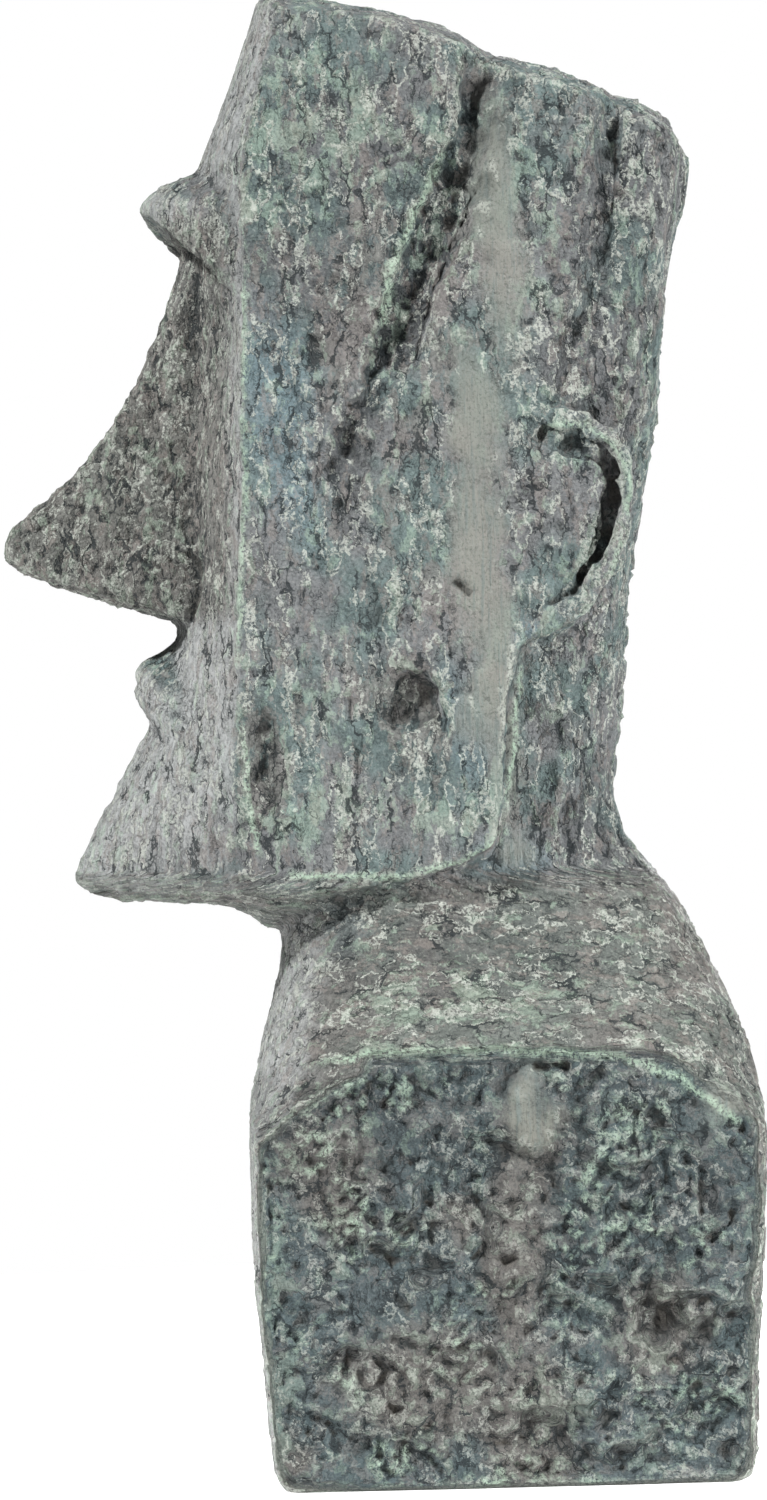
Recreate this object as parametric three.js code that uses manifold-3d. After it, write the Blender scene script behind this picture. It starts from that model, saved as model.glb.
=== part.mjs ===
// Moai garden statue: an Easter Island stone head on a squared-off torso, cast in one piece.
// Millimetres, +Z up. It faces -Y, and its left side is +X. The origin is on the ground, under the middle of
// the statue's width and about the middle of its length (nose to back).
//
// The head is a stack of plan outlines whose corners follow a few named lines, as a carver draws them on the
// block: middle of the face, cheek edge, ear line, nape and back. Brow, nose, lips and ears are joined on.
// The crown, the jaw, the side grooves, the ears' hollows and the cheek hollows are cut.

import * as THREE from "three";
import { mergeVertices } from "three/addons/utils/BufferGeometryUtils.js";
import Module from "manifold-3d";

const wasm = await Module();
wasm.setup();

// ---------------------------------------------------------------- driving dimensions

const HEIGHT = 600; // ground to the front of the crown
const NOSE_TIP_Y = -156.5;
const BACK_HUMP_Y = 152;
const SIDE_X = 88; // half-width of the head along the ear line, at its widest
const TORSO_X = 113; // half-width of the torso block at its widest

const BROW_TIP = { y: -98, z: 516 };
const CHIN = { y: -129, z: 238 };
const MOUTH = { z: 320, halfWidth: 42, droop: 17 };
const EAR = { y: 60, z: 396, frontX: 86, backX: 92, hollowX: 87.5, gapX: 76 };

const STONE = { color: 0x74797a, roughness: 0.85, metalness: 0.0 };

// ---------------------------------------------------------------- helpers

// A smooth function through [position, value] pairs in rising order, with no overshoot between them.
function through(...pairs) {
  const at = pairs.map((p) => p[0]);
  const value = pairs.map((p) => p[1]);
  const slope = at.map((_, i) => {
    if (i === 0 || i === at.length - 1) return 0;
    const before = (value[i] - value[i - 1]) / (at[i] - at[i - 1]);
    const after = (value[i + 1] - value[i]) / (at[i + 1] - at[i]);
    return before * after > 0 ? (2 * before * after) / (before + after) : 0;
  });
  return (t) => {
    if (t <= at[0]) return value[0];
    if (t >= at.at(-1)) return value.at(-1);
    const i = at.findIndex((a) => a > t) - 1;
    const span = at[i + 1] - at[i];
    const s = (t - at[i]) / span;
    const rise = s * s * (3 - 2 * s);
    const leave = s * (1 - s) * (1 - s) * span * slope[i];
    const arrive = s * s * (s - 1) * span * slope[i + 1];
    return value[i] + (value[i + 1] - value[i]) * rise + leave + arrive;
  };
}

const mix = (a, b, t) => a + (b - a) * t;
const steps = (from, to, count) => Array.from({ length: count + 1 }, (_, i) => mix(from, to, i / count));

// A closed mesh as a solid, turned right side out.
function solidOf(positions, triangles) {
  const geometry = new THREE.BufferGeometry();
  geometry.setAttribute("position", new THREE.Float32BufferAttribute(positions.flat(), 3));
  geometry.setIndex(triangles.flat());
  const merged = mergeVertices(geometry, 1e-3);
  const vertProperties = new Float32Array(merged.attributes.position.array);
  const make = (triVerts) => new wasm.Manifold(new wasm.Mesh({ numProp: 3, vertProperties, triVerts }));
  const corners = Array.from(merged.index.array);
  const solid = make(new Uint32Array(corners));
  return solid.volume() > 0 ? solid : make(new Uint32Array(corners.reverse()));
}

// A solid skinned over rings of [x, y, z] points, all with the same number of points, with flat ends.
function loft(rings) {
  const count = rings[0].length;
  const triangles = [];
  for (let r = 0; r + 1 < rings.length; r++) {
    for (let i = 0; i < count; i++) {
      const a = r * count + i;
      const b = r * count + ((i + 1) % count);
      triangles.push([a, b, b + count], [a, b + count, a + count]);
    }
  }
  const cap = (r, flip) => {
    const points = rings[r].map((p) => new THREE.Vector3(...p));
    const normal = new THREE.Vector3();
    points.forEach((p, i) => normal.add(p.clone().cross(points[(i + 1) % count])));
    const toPlane = new THREE.Quaternion().setFromUnitVectors(normal.normalize(), new THREE.Vector3(0, 0, 1));
    const flat = points.map((p) => p.applyQuaternion(toPlane)).map((p) => new THREE.Vector2(p.x, p.y));
    for (const [a, b, c] of THREE.ShapeUtils.triangulateShape(flat, [])) {
      triangles.push(flip ? [a, c, b].map((i) => r * count + i) : [a, b, c].map((i) => r * count + i));
    }
  };
  cap(0, true);
  cap(rings.length - 1, false);
  return solidOf(rings.flat(), triangles);
}

// The whole ring of a half outline that runs from the front middle (x = 0) to the back middle (x = 0).
const mirrored = (half) => [...half, ...half.slice(1, -1).reverse().map(([x, y, z]) => [-x, y, z])];

// A solid made for the left side (side = 1) and for the right (side = -1), as one.
const bothSides = (make) => make(1).add(make(-1));

// An outline drawn on the statue's side, in (y, z), as a slab between two depths, each x as a function of y.
function sideSlab(outline, innerX, outerX, side) {
  return loft([innerX, outerX].map((x) => outline.map(([y, z]) => [side * x(y), y, z])));
}

// ---------------------------------------------------------------- head

// Lines of the head against height.
const faceMiddleY = through(
  [205, -118], [232, -124], [CHIN.z, CHIN.y], [256, -122], [288, -105], [303, -97], [322, -90],
  [342, -84], [420, -78], [500, -75], [530, -73], [547, -66], [576, -55], [HEIGHT, -47], [612, -44],
);
const cheekX = through([205, 66], [240, 71], [300, 77], [400, 79], [500, 76], [560, 70], [612, 64]);
const cheekY = through(
  [205, -57], [264, -60.5], [350, -56.5], [454, -54.5], [520, -53.5], [575, -43], [612, -37],
);
const earLineX = through(
  [205, 78], [264, 84], [340, SIDE_X], [430, 87], [520, 83], [575, 79], [612, 73],
);
const earLineY = through(
  [205, 40], [256, 43], [310, 47], [333, 53], [345, 64], [430, 79], [484, 86], [547, 95], [612, 99],
);
const backY = through(
  [205, 97], [277, 94], [326, 99], [366, 103], [406, 111], [450, 116], [487, 120], [511, 125], [531, 127.5],
  [612, 128],
);
// How far the back of the head lies inside the ear line, and how pointed the face is in plan.
const napeStep = through([264, 14], [333, 14], [400, 13], [440, 5], [500, 3], [612, 3]);
const faceWedge = through([230, 1.35], [300, 1.5], [340, 1.9], [480, 1.9], [540, 2.6], [612, 3]);

// The side of the head, between cheek edge and ear line.
function sideX(y, z) {
  const back = THREE.MathUtils.clamp((y - cheekY(z)) / (earLineY(z) - cheekY(z)), 0, 1);
  return mix(cheekX(z), earLineX(z), back);
}

const SOCKET = { depth: 7, z: 462, height: 34, at: 0.55, width: 0.3 };

// The hollow that each eye lies in, beside the nose and under the brow.
function socketDepth(across, z) {
  const up = (z - SOCKET.z) / SOCKET.height;
  const out = (across - SOCKET.at) / SOCKET.width;
  return SOCKET.depth * Math.exp(-up * up - out * out);
}

function headOutline(z) {
  const cheek = [cheekX(z), cheekY(z)];
  const ear = [earLineX(z), earLineY(z)];
  const nape = [ear[0] - napeStep(z), ear[1] + 3];
  const front = [0, 0.12, 0.27, 0.42, 0.57, 0.72, 0.86].map((across) => {
    const y = mix(faceMiddleY(z), cheek[1], across ** faceWedge(z));
    return [cheek[0] * across, y + socketDepth(across, z), z];
  });
  const bulge = 1.5;
  const side = steps(0, 1, 4).map((t) => [
    mix(cheek[0], ear[0], t) + bulge * Math.sin(Math.PI * t),
    mix(cheek[1], ear[1], t),
    z,
  ]);
  const roundness = 2 / 3.2;
  const back = [0, 18, 38, 54, 68, 80, 90].map((degrees) => {
    const a = THREE.MathUtils.degToRad(degrees);
    const x = nape[0] * Math.cos(a) ** roundness;
    return [degrees === 90 ? 0 : x, mix(nape[1], backY(z), Math.sin(a) ** roundness), z];
  });
  return mirrored([...front, ...side, ...back]);
}

// What of the stack is head: under the crown, which falls towards the back in three steps, and over the jaw.
function headLimits() {
  const crown = through(
    [-140, 599], [-46, 599.5], [-32, HEIGHT], [-14, 596.8], [3, 594.1], [18, 590.6], [29, 587], [37, 583],
    [42, 577.5], [57, 574], [73, 570], [85, 565.5], [91, 562.5], [95, 558.4], [106, 555.4], [112, 552],
    [120, 544.5], [125, 534], [140, 515],
  );
  const jawMiddle = through(
    [-130, 239], [-126, 235], [-114, 231.5], [-72, 228], [-60, 225], [-46, 217], [46, 212],
  );
  const jawSide = through([-130, 238], [-60, 237], [-12, 240], [12, 245], [28, 250], [40, 256], [45, 262]);
  const neckStarts = 46;
  const domed = 13; // how far the crown falls from the middle to the side
  const across = steps(-1, 1, 12).map((t) => t * 108);
  return loft(
    [
      -140, -128, -122, -112, -92, -72, -60, -50, -40, -28, -14, 2, 14, 24, 33, 40, 43, 46, 50, 60, 73, 85,
      91, 95, 102, 108, 113, 120, 125, 140,
    ].map((y) => {
      const roof = across.map((x) => [x, y, crown(y) - domed * Math.abs(x / 76) ** 2.4]);
      const floor = across.toReversed().map((x) => {
        const jaw = mix(jawMiddle(y), jawSide(y), Math.min(1, (x / 80) ** 2));
        return [x, y, y > neckStarts ? 205 : jaw];
      });
      return [...roof, ...floor];
    }),
  );
}

// The brow: a visor round the front of the head. Its crest stays nearly level, and its lower edge drops at the
// sides until it meets the cheek edge.
function brow() {
  const outline = { halfWidth: 78.5, sidesY: -24, roundness: 2 / 1.85 };
  const crestZ = through([0, BROW_TIP.z], [45, BROW_TIP.z - 3], [75, 504], [90, 490]);
  const lowerZ = through(
    [0, 514], [12, 512], [22, 508], [34, 501], [47, 488], [60, 474], [68, 460], [76, 442], [90, 425],
  );
  const overhang = through([0, 1], [60, 0.8], [80, 0.25], [90, 0]);
  // How steeply the underside falls towards the eyes.
  const hood = through([0, 1], [12, 0.9], [30, 0.3], [90, 0.2]);
  const rings = steps(-90, 90, 28).map((degrees) => {
    const a = THREE.MathUtils.degToRad(Math.abs(degrees));
    const side = Math.sign(degrees);
    const x = outline.halfWidth * Math.sin(a) ** outline.roundness;
    const y = mix(outline.sidesY, BROW_TIP.y, Math.max(0, Math.cos(a)) ** outline.roundness);
    const inwards = new THREE.Vector2(-x, outline.sidesY + 10 - y).normalize();
    const crest = crestZ(Math.abs(degrees));
    const lower = lowerZ(Math.abs(degrees));
    const stand = overhang(Math.abs(degrees));
    const fall = hood(Math.abs(degrees));
    const section = [
      [46, crest + 48], [37, crest + 41 * stand], [31, crest + 29 * stand], [27, crest + 19 * stand],
      [21, crest + 14 * stand], [12, crest + 10.5 * stand], [5.5, crest + 7 * stand], [1, crest + 2.5 * stand],
      [0, crest - 0.5], [0, mix(lower, crest, 0.25)], [1, lower], [5, lower - 2 * fall],
      [14, lower - 10 * fall], [20, lower - 16 * fall], [44, lower - 18 * fall],
    ];
    return section.map(([inset, z]) => [side * (x + inwards.x * inset), y + inwards.y * inset, z]);
  });
  return loft(rings);
}

// The nose: a ridge that swings out from the brow to a drooping tip, with wings, and a flat underside that
// slopes back to the lip.
function nose() {
  const ridgeY = through(
    [343, -80], [346, -87], [354, -113], [361.5, -134.5], [366.5, -149.5], [373, NOSE_TIP_Y], [381, -155.5],
    [389, -149], [397, -138.2], [405, -128.4], [421, -114.4], [437, -104.6], [453, -96.4], [469, -89.2],
    [486, -83], [500, -79.4], [512, -78],
  );
  const ridgeX = through([343, 35], [354, 27], [362, 21], [367, 13], [380, 11], [420, 9], [512, 8]);
  const wingX = through(
    [343, 36], [352, 38], [366, 36], [378, 31], [392, 26], [430, 19], [480, 14], [512, 13],
  );
  const rootY = -52;
  return loft(
    [343, 346, ...steps(350, 366, 4), 369, 372, ...steps(376, 404, 7), ...steps(412, 512, 10)].map((z) => {
      const front = ridgeY(z);
      const wing = wingX(z);
      const ridge = Math.min(ridgeX(z), wing - 1);
      const face = -82;
      const flank = (out, back) => [mix(ridge, wing, out), mix(front + 5, Math.max(face, front + 5), back), z];
      return mirrored([
        [0, front, z], [ridge * 0.55, front + 0.8, z], [ridge, front + 4, z], flank(0.4, 0.3), flank(0.75, 0.6),
        flank(0.97, 0.85), flank(1, 1), [wing, rootY + 8, z], [0, rootY, z],
      ]);
    }),
  );
}

// The two thin lips: one form with the mouth as a crease along it, drooping to the corners.
function lips() {
  const across = steps(-1, 1, 18);
  return loft(
    across.map((t) => {
      const x = MOUTH.halfWidth * t;
      const z = MOUTH.z - MOUTH.droop * Math.abs(t) ** 1.7;
      const fullness = Math.sqrt(Math.max(0, 1 - t * t));
      const faceY = mix(faceMiddleY(z), cheekY(z), Math.abs(x / cheekX(z)) ** faceWedge(z));
      const proud = 13 * fullness;
      const section = [
        [12, 22], [5, 18], [0, 13.5], [-0.3, 11.5], [-0.62, 9.5], [-0.8, 7.5], [-0.93, 4.5], [-0.92, 2.5],
        [-0.8, 0.5], [-0.94, -1.5], [-1, -3.5], [-0.93, -5.5], [-0.78, -9], [-0.6, -13], [-0.3, -19],
        [0, -25], [12, -26],
      ];
      const tall = mix(0.55, 1, fullness);
      return section.map(([out, up]) => [x, faceY + (out > 0 ? out : out * proud), z + up * tall]);
    }),
  );
}

// ---------------------------------------------------------------- ears, grooves and hollows

// A curve round the ear in (y, z), from the top front, round the back, to the lobe.
function earCurve({ reach, up, down, lean }) {
  return steps(90, -90, 14).map((degrees) => {
    const a = THREE.MathUtils.degToRad(degrees);
    const rise = Math.sin(a) * (degrees > 0 ? up : down);
    const forward = degrees > 0 ? 0 : lean * Math.sin(a) ** 2;
    return [EAR.y - forward + reach * Math.max(0, Math.cos(a)) ** 0.8, EAR.z + rise];
  });
}

const EAR_RIM = earCurve({ reach: 39, up: 30, down: 62, lean: 7 });
const EAR_INNER = earCurve({ reach: 33.5, up: 22, down: 49, lean: 4 });
const EAR_FLOOR = earCurve({ reach: 28.5, up: 11, down: 46, lean: 3 });

// The ear: a C-shaped rim, flush with the side of the head in front and standing off it behind, round a flat
// hollow. A deep crescent gap parts the two.
function ear(side) {
  const beyond = 115;
  const faceX = (y) => mix(EAR.frontX, EAR.backX, THREE.MathUtils.clamp((y - 48) / 50, 0, 1));
  const plate = sideSlab([...EAR_RIM, [44, 336], [44, 424]], () => 62, faceX, side);
  const inside = sideSlab([...EAR_INNER, [44, 352], [44, 414]], () => EAR.hollowX, () => beyond, side);
  return plate.subtract(inside);
}

const earGap = (side) => sideSlab([...EAR_INNER, ...EAR_FLOOR.toReversed()], () => EAR.gapX, () => 115, side);

// A carver's groove down the side of the head: a V that follows path points [y, z, half-width, depth].
function groove(path, side) {
  const outside = 108;
  return loft(
    path.map(([y, z, half, depth]) => {
      const surface = sideX(y, z);
      const floor = surface - depth;
      return [
        [side * outside, y - half * 1.2, z], [side * surface, y - half, z], [side * floor, y - half * 0.35, z],
        [side * floor, y + half * 0.25, z], [side * surface, y + half, z], [side * outside, y + half * 1.4, z],
      ];
    }),
  );
}

const TEMPLE_GROOVE = [
  [52, 620, 8, 15], [48, 575, 8, 15], [40, 543, 8, 14], [31, 519, 9, 13], [24, 496, 9, 11], [15, 472, 9, 8],
  [5, 449, 9, 6], [-5, 427, 8, 4], [-15, 401, 7, 2.5], [-23, 374, 5, 0.5],
];
const NAPE_GROOVE = [
  [101, 620, 6, 9], [97, 560, 6, 9], [93, 530, 7, 9], [91, 505, 8, 8], [87, 482, 9, 7], [82, 460, 10, 6],
  [76, 440, 12, 5], [72, 424, 13, 4],
];

// A shallow hollow: a rounded lump cut out of the side of the head.
function hollow(y, z, halfY, halfZ, depth, tilt, side) {
  const lump = new THREE.IcosahedronGeometry(1, 2);
  lump.deleteAttribute("normal");
  lump.deleteAttribute("uv");
  const shape = mergeVertices(lump, 1e-4);
  shape.applyMatrix4(new THREE.Matrix4().makeScale(depth * 1.6, halfY, halfZ));
  shape.applyMatrix4(new THREE.Matrix4().makeRotationX(THREE.MathUtils.degToRad(tilt)));
  shape.applyMatrix4(new THREE.Matrix4().makeTranslation(side * (sideX(y, z) + depth * 0.6), y, z));
  const points = Array.from({ length: shape.attributes.position.count }, (_, i) => [
    shape.attributes.position.getX(i), shape.attributes.position.getY(i), shape.attributes.position.getZ(i),
  ]);
  return solidOf(points, [Array.from(shape.index.array)]);
}

const cheekTrough = (side) => hollow(-50, 283, 10, 25, 6, 0, side);
const cheekPit = (side) => hollow(9, 309, 14, 15, 6, -25, side);

// ---------------------------------------------------------------- neck, shoulders and torso

// Neck and shoulders: a hill whose plan grows from the throat until it is wider than the torso block.
function neckAndShoulders() {
  const frontY = through(
    [0, -80], [135, -66], [147, -58], [156, -55], [168, -53], [180, -50], [190, -47.5], [203, -44.5],
    [224, -42.5], [260, -38], [310, -28],
  );
  const rearY = through(
    [0, 175], [118, 165], [134, 155], [147, 151], [171, 145.5], [188, 140], [204, 132], [220, 124], [236, 114],
    [245, 106], [261, 96], [277, 94], [310, 93],
  );
  const halfX = through(
    [0, 220], [120, 190], [144, 152], [160, 121], [172, 111], [185, 100], [200, 89], [218, 78], [235, 72],
    [260, 69], [310, 66],
  );
  const squareness = 2 / 3.4;
  const levels = [0, 110, 120, 128, ...steps(136, 178, 7), ...steps(185, 217, 4), 228, 240, 254, 270, 290, 310];
  return loft(
    levels.map((z) =>
      steps(0, 360, 44).slice(0, -1).map((degrees) => {
        const a = THREE.MathUtils.degToRad(degrees);
        const round = (v) => Math.sign(v) * Math.abs(v) ** squareness;
        const centre = (frontY(z) + rearY(z)) / 2;
        return [halfX(z) * round(Math.sin(a)), centre - (centre - frontY(z)) * round(Math.cos(a)), z];
      }),
    ),
  );
}

// The torso block: flat front and sides, and a rounded back. It tapers to the ground, where its edges are worn.
function torsoBlock() {
  const frontY = through([0, -46], [4, -49.5], [23, -52], [50, -53.5], [80, -56.5], [144, -57], [200, -56]);
  const rearY = through(
    [0, 143], [4, 147], [40, 147.5], [68, 150], [92, 151.4], [125, BACK_HUMP_Y], [200, 150],
  );
  const halfX = through([0, 105], [4, 108], [60, 110.5], [120, TORSO_X], [200, 112]);
  const corner = 6;
  const backBulge = 8;
  return loft(
    [0, 3, 8, 24, 45, 70, 95, 120, 150, 200, 320].map((z) => {
      const wide = halfX(z);
      const front = frontY(z);
      const rear = rearY(z);
      const backAt = (t) => rear - backBulge * t ** 1.7;
      const converge = 4; // the sides close in a little towards the back
      return mirrored([
        [0, front - 0.5, z], [wide * 0.5, front - 0.5, z], [wide - corner, front, z],
        [wide - corner * 0.3, front + corner * 0.3, z], [wide, front + corner, z],
        [wide - converge / 2 + 0.8, (front + rear) / 2, z], [wide - converge, backAt(1) - corner, z],
        [wide - converge - corner * 0.3, backAt(1) - corner * 0.3, z],
        ...[0.93, 0.8, 0.6, 0.4, 0.2].map((t) => [(wide - converge) * t, backAt(t), z]), [0, rear, z],
      ]);
    }),
  );
}

// ---------------------------------------------------------------- the statue

function statue() {
  const levels = [205, 216, 226, ...steps(233, 261, 6), ...steps(268, 338, 9), ...steps(346, 612, 26)];
  const skull = loft(levels.map(headOutline)).intersect(headLimits());
  const body = neckAndShoulders().intersect(torsoBlock());
  return skull
    .subtract(bothSides((side) => groove(TEMPLE_GROOVE, side)))
    .subtract(bothSides((side) => groove(NAPE_GROOVE, side)))
    .add(brow())
    .add(nose())
    .add(lips())
    .add(bothSides(ear))
    .subtract(bothSides(earGap))
    .subtract(bothSides(cheekTrough))
    .subtract(bothSides(cheekPit))
    .add(body);
}

// The solid's faces as a three.js geometry.
function geometryOf(solid) {
  const mesh = solid.getMesh();
  const geometry = new THREE.BufferGeometry();
  geometry.setAttribute("position", new THREE.BufferAttribute(new Float32Array(mesh.vertProperties), 3));
  geometry.setIndex(new THREE.BufferAttribute(mesh.triVerts, 1));
  geometry.computeVertexNormals();
  return geometry;
}

const group = new THREE.Group();
const moai = new THREE.Mesh(geometryOf(statue()), new THREE.MeshStandardMaterial(STONE));
moai.name = "moai_statue";
group.add(moai);

export default group;
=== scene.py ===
"""The looks of the moai garden statue: a fine stone-like surface over its solid, paint, studio and camera.

The surface is one piece. It starts as an even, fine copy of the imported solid. Relief is then laid on it in
layers, as a modeller works clay: uneven slabs, torn flakes, smears of the spatula, and single marks.
The layers are worked out from noise with fixed seeds, and leave each point's paint in named attributes.
"""

import itertools
import math

import bpy
import numpy as np
from mathutils import Matrix, Vector, kdtree


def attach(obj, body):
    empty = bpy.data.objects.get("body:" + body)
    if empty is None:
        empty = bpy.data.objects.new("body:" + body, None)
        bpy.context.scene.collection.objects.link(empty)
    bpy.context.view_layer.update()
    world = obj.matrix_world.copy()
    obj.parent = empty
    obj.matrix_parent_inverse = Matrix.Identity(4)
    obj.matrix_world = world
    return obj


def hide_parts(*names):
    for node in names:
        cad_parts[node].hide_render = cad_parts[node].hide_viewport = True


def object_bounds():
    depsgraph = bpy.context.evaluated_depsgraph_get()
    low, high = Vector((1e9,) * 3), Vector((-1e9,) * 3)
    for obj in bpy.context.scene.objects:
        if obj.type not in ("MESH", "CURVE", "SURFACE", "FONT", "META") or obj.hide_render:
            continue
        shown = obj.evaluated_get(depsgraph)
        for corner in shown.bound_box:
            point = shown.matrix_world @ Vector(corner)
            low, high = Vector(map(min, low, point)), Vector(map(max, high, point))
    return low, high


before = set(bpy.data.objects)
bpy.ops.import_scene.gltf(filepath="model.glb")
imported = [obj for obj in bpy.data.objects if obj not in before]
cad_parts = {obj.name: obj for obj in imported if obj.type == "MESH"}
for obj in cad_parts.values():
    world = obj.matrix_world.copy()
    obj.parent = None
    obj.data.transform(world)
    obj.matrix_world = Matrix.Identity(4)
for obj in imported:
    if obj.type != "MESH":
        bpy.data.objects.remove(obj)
CAD_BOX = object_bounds()
LOW, HIGH = (np.array(corner) for corner in CAD_BOX)
HEIGHT = HIGH[2] - LOW[2]
MM = 0.001  # the relief is worked in millimetres, the scene in metres

# ---------------------------------------------------------------- studio and camera

CAMERA_DISTANCE = 1.9
# How far the camera stands round towards the face, from square to the left side.
CAMERA_TURN = math.radians(1.5)
CAMERA_ROLL = math.radians(-1.0)
CAMERA_HEIGHT = 0.485 * HEIGHT
LENS = 109.8
SENSOR_WIDTH = 36


def make_camera():
    """A long lens at the photograph's viewing angle, level with the statue's middle."""
    data = bpy.data.cameras.new("camera")
    data.lens = LENS
    data.sensor_width = SENSOR_WIDTH
    camera = bpy.data.objects.new("camera", data)
    bpy.context.collection.objects.link(camera)
    towards = Vector((-math.cos(CAMERA_TURN), math.sin(CAMERA_TURN), 0))
    camera.location = Vector((0, 0, LOW[2] + CAMERA_HEIGHT)) - towards * CAMERA_DISTANCE
    aim = towards.to_track_quat("-Z", "Y")
    camera.rotation_euler = (aim.to_matrix() @ Matrix.Rotation(CAMERA_ROLL, 3, "Z")).to_euler()
    bpy.context.scene.camera = camera


FLOOR_RADIUS = 0.7
FLOOR_CORNERS = 96
FLOOR_GLOW = 0.6
PAPER_WHITE = 0.9
# How strongly the room lights the statue from above and from below, and how pale it looks to the camera.
ROOM_LIGHT = 0.28
ROOM_LIGHT_BELOW = 0.2 * ROOM_LIGHT
ROOM_PALE = 1.0
# Each light: its name, its place in metres, its size and its power in watts.
LIGHTS = [
    ("key", (1.8, -2.7, 3.3), 0.4, 330),
    ("back", (1.8, 2.9, 1.2), 0.7, 200),
    ("far", (-2.6, 0.6, 1.0), 1.0, 130),
]


def make_light(name, place, size, power):
    """A square soft box at place, turned to the middle of the statue."""
    data = bpy.data.lights.new(name, "AREA")
    data.size = size
    data.energy = power
    light = bpy.data.objects.new(name, data)
    bpy.context.collection.objects.link(light)
    light.location = place
    middle = Vector((0, 0, HEIGHT / 2))
    light.rotation_euler = (middle - Vector(place)).to_track_quat("-Z", "Y").to_euler()


def make_floor():
    """A round of pale paper on the ground."""
    angles = np.linspace(0, math.tau, FLOOR_CORNERS + 1)[:-1]
    rim = [(FLOOR_RADIUS * math.cos(a), FLOOR_RADIUS * math.sin(a), 0) for a in angles]
    data = bpy.data.meshes.new("floor")
    data.from_pydata(rim, [], [range(len(rim))])
    floor = bpy.data.objects.new("floor", data)
    bpy.context.collection.objects.link(floor)
    paper = bpy.data.materials.new("floor_paper")
    paper.use_nodes = True
    shader = paper.node_tree.nodes["Principled BSDF"]
    shader.inputs["Base Color"].default_value = (PAPER_WHITE, PAPER_WHITE, PAPER_WHITE, 1)
    shader.inputs["Roughness"].default_value = 0.9
    shader.inputs["Emission Color"].default_value = (1, 1, 1, 1)
    shader.inputs["Emission Strength"].default_value = FLOOR_GLOW
    data.materials.append(paper)


def make_room():
    """A pale room that is dimmer as a lamp than to the eye, and gives its light from above."""
    world = bpy.data.worlds.new("room")
    world.use_nodes = True
    tree = world.node_tree
    direction = tree.nodes.new("ShaderNodeTexCoord").outputs["Generated"]
    parts = tree.nodes.new("ShaderNodeSeparateXYZ")
    tree.links.new(direction, parts.inputs[0])
    glow = tree.nodes.new("ShaderNodeMapRange")
    tree.links.new(parts.outputs["Z"], glow.inputs["Value"])
    glow.inputs["From Min"].default_value = -0.3
    glow.inputs["From Max"].default_value = 0.5
    glow.inputs["To Min"].default_value = ROOM_LIGHT_BELOW
    glow.inputs["To Max"].default_value = ROOM_LIGHT
    strength = tree.nodes.new("ShaderNodeMapRange")
    tree.links.new(tree.nodes.new("ShaderNodeLightPath").outputs["Is Camera Ray"], strength.inputs["Value"])
    tree.links.new(glow.outputs["Result"], strength.inputs["To Min"])
    strength.inputs["To Max"].default_value = ROOM_PALE
    tree.links.new(strength.outputs["Result"], tree.nodes["Background"].inputs["Strength"])
    tree.nodes["Background"].inputs["Color"].default_value = (1, 1, 1, 1)
    bpy.context.scene.world = world


def make_studio():
    """The floor, the room and the lights."""
    make_floor()
    make_room()
    for light in LIGHTS:
        make_light(*light)
    bpy.context.scene.view_settings.view_transform = "Standard"


# ---------------------------------------------------------------- noise


# Large primes that spread the numbers of neighbouring cells far apart.
CELL_PRIMES = (73856093, 19349663, 83492791)
SEED_PRIME = 668265263
MIX_PRIMES = (1274126177, 374761393)
TWENTY_BITS = 0xFFFFF


def scrambled(cells, seed):
    """A repeatable random number from 0 to 1 for each cell of a lattice."""
    mixed = (seed + 1) * SEED_PRIME
    for axis, prime in enumerate(CELL_PRIMES):
        mixed = mixed ^ cells[..., axis] * prime
    mixed = (mixed ^ (mixed >> 13)) * MIX_PRIMES[0]
    mixed = (mixed ^ (mixed >> 16)) * MIX_PRIMES[1]
    return ((mixed ^ (mixed >> 15)) & TWENTY_BITS) / TWENTY_BITS


def waves(points, seed):
    """Smooth noise from about -1 to 1, with lumps one unit wide."""
    cell = np.floor(points).astype(np.int64)
    inside = points - cell
    fade = inside * inside * inside * (inside * (inside * 6 - 15) + 10)
    total = np.zeros(len(points))
    for corner in itertools.product((0, 1), repeat=3):
        at = cell + corner
        slope = np.stack([scrambled(at, seed * 3 + k) for k in range(3)], axis=-1) * 2 - 1
        weight = np.prod(np.where(corner, fade, 1 - fade), axis=1)
        total += weight * ((inside - corner) * slope).sum(axis=1)
    return total * 1.7


def rough(points, seed, octaves=3, keep=0.5):
    """Waves on waves: each layer is half as wide and keep times as high as the last."""
    layers = [waves(points * 2**k, seed + 17 * k) * keep**k for k in range(octaves)]
    return sum(layers) / sum(keep**k for k in range(octaves))


def drift(points, seed, axes=3, octaves=2, keep=0.5):
    """Rough noise along each of several axes, to push points about."""
    return np.stack([rough(points, seed + k, octaves, keep) for k in range(axes)], axis=-1)


def ledges(values, levels):
    """Values from about -1 to 1 as a stair of that many levels, with short steep risers."""
    climb = (values + 1) / 2 * levels
    tread = np.floor(climb)
    riser = np.clip((climb - tread - 0.7) / 0.3, 0, 1)
    return (tread + riser * riser * (3 - 2 * riser)) / levels * 2 - 1


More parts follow.
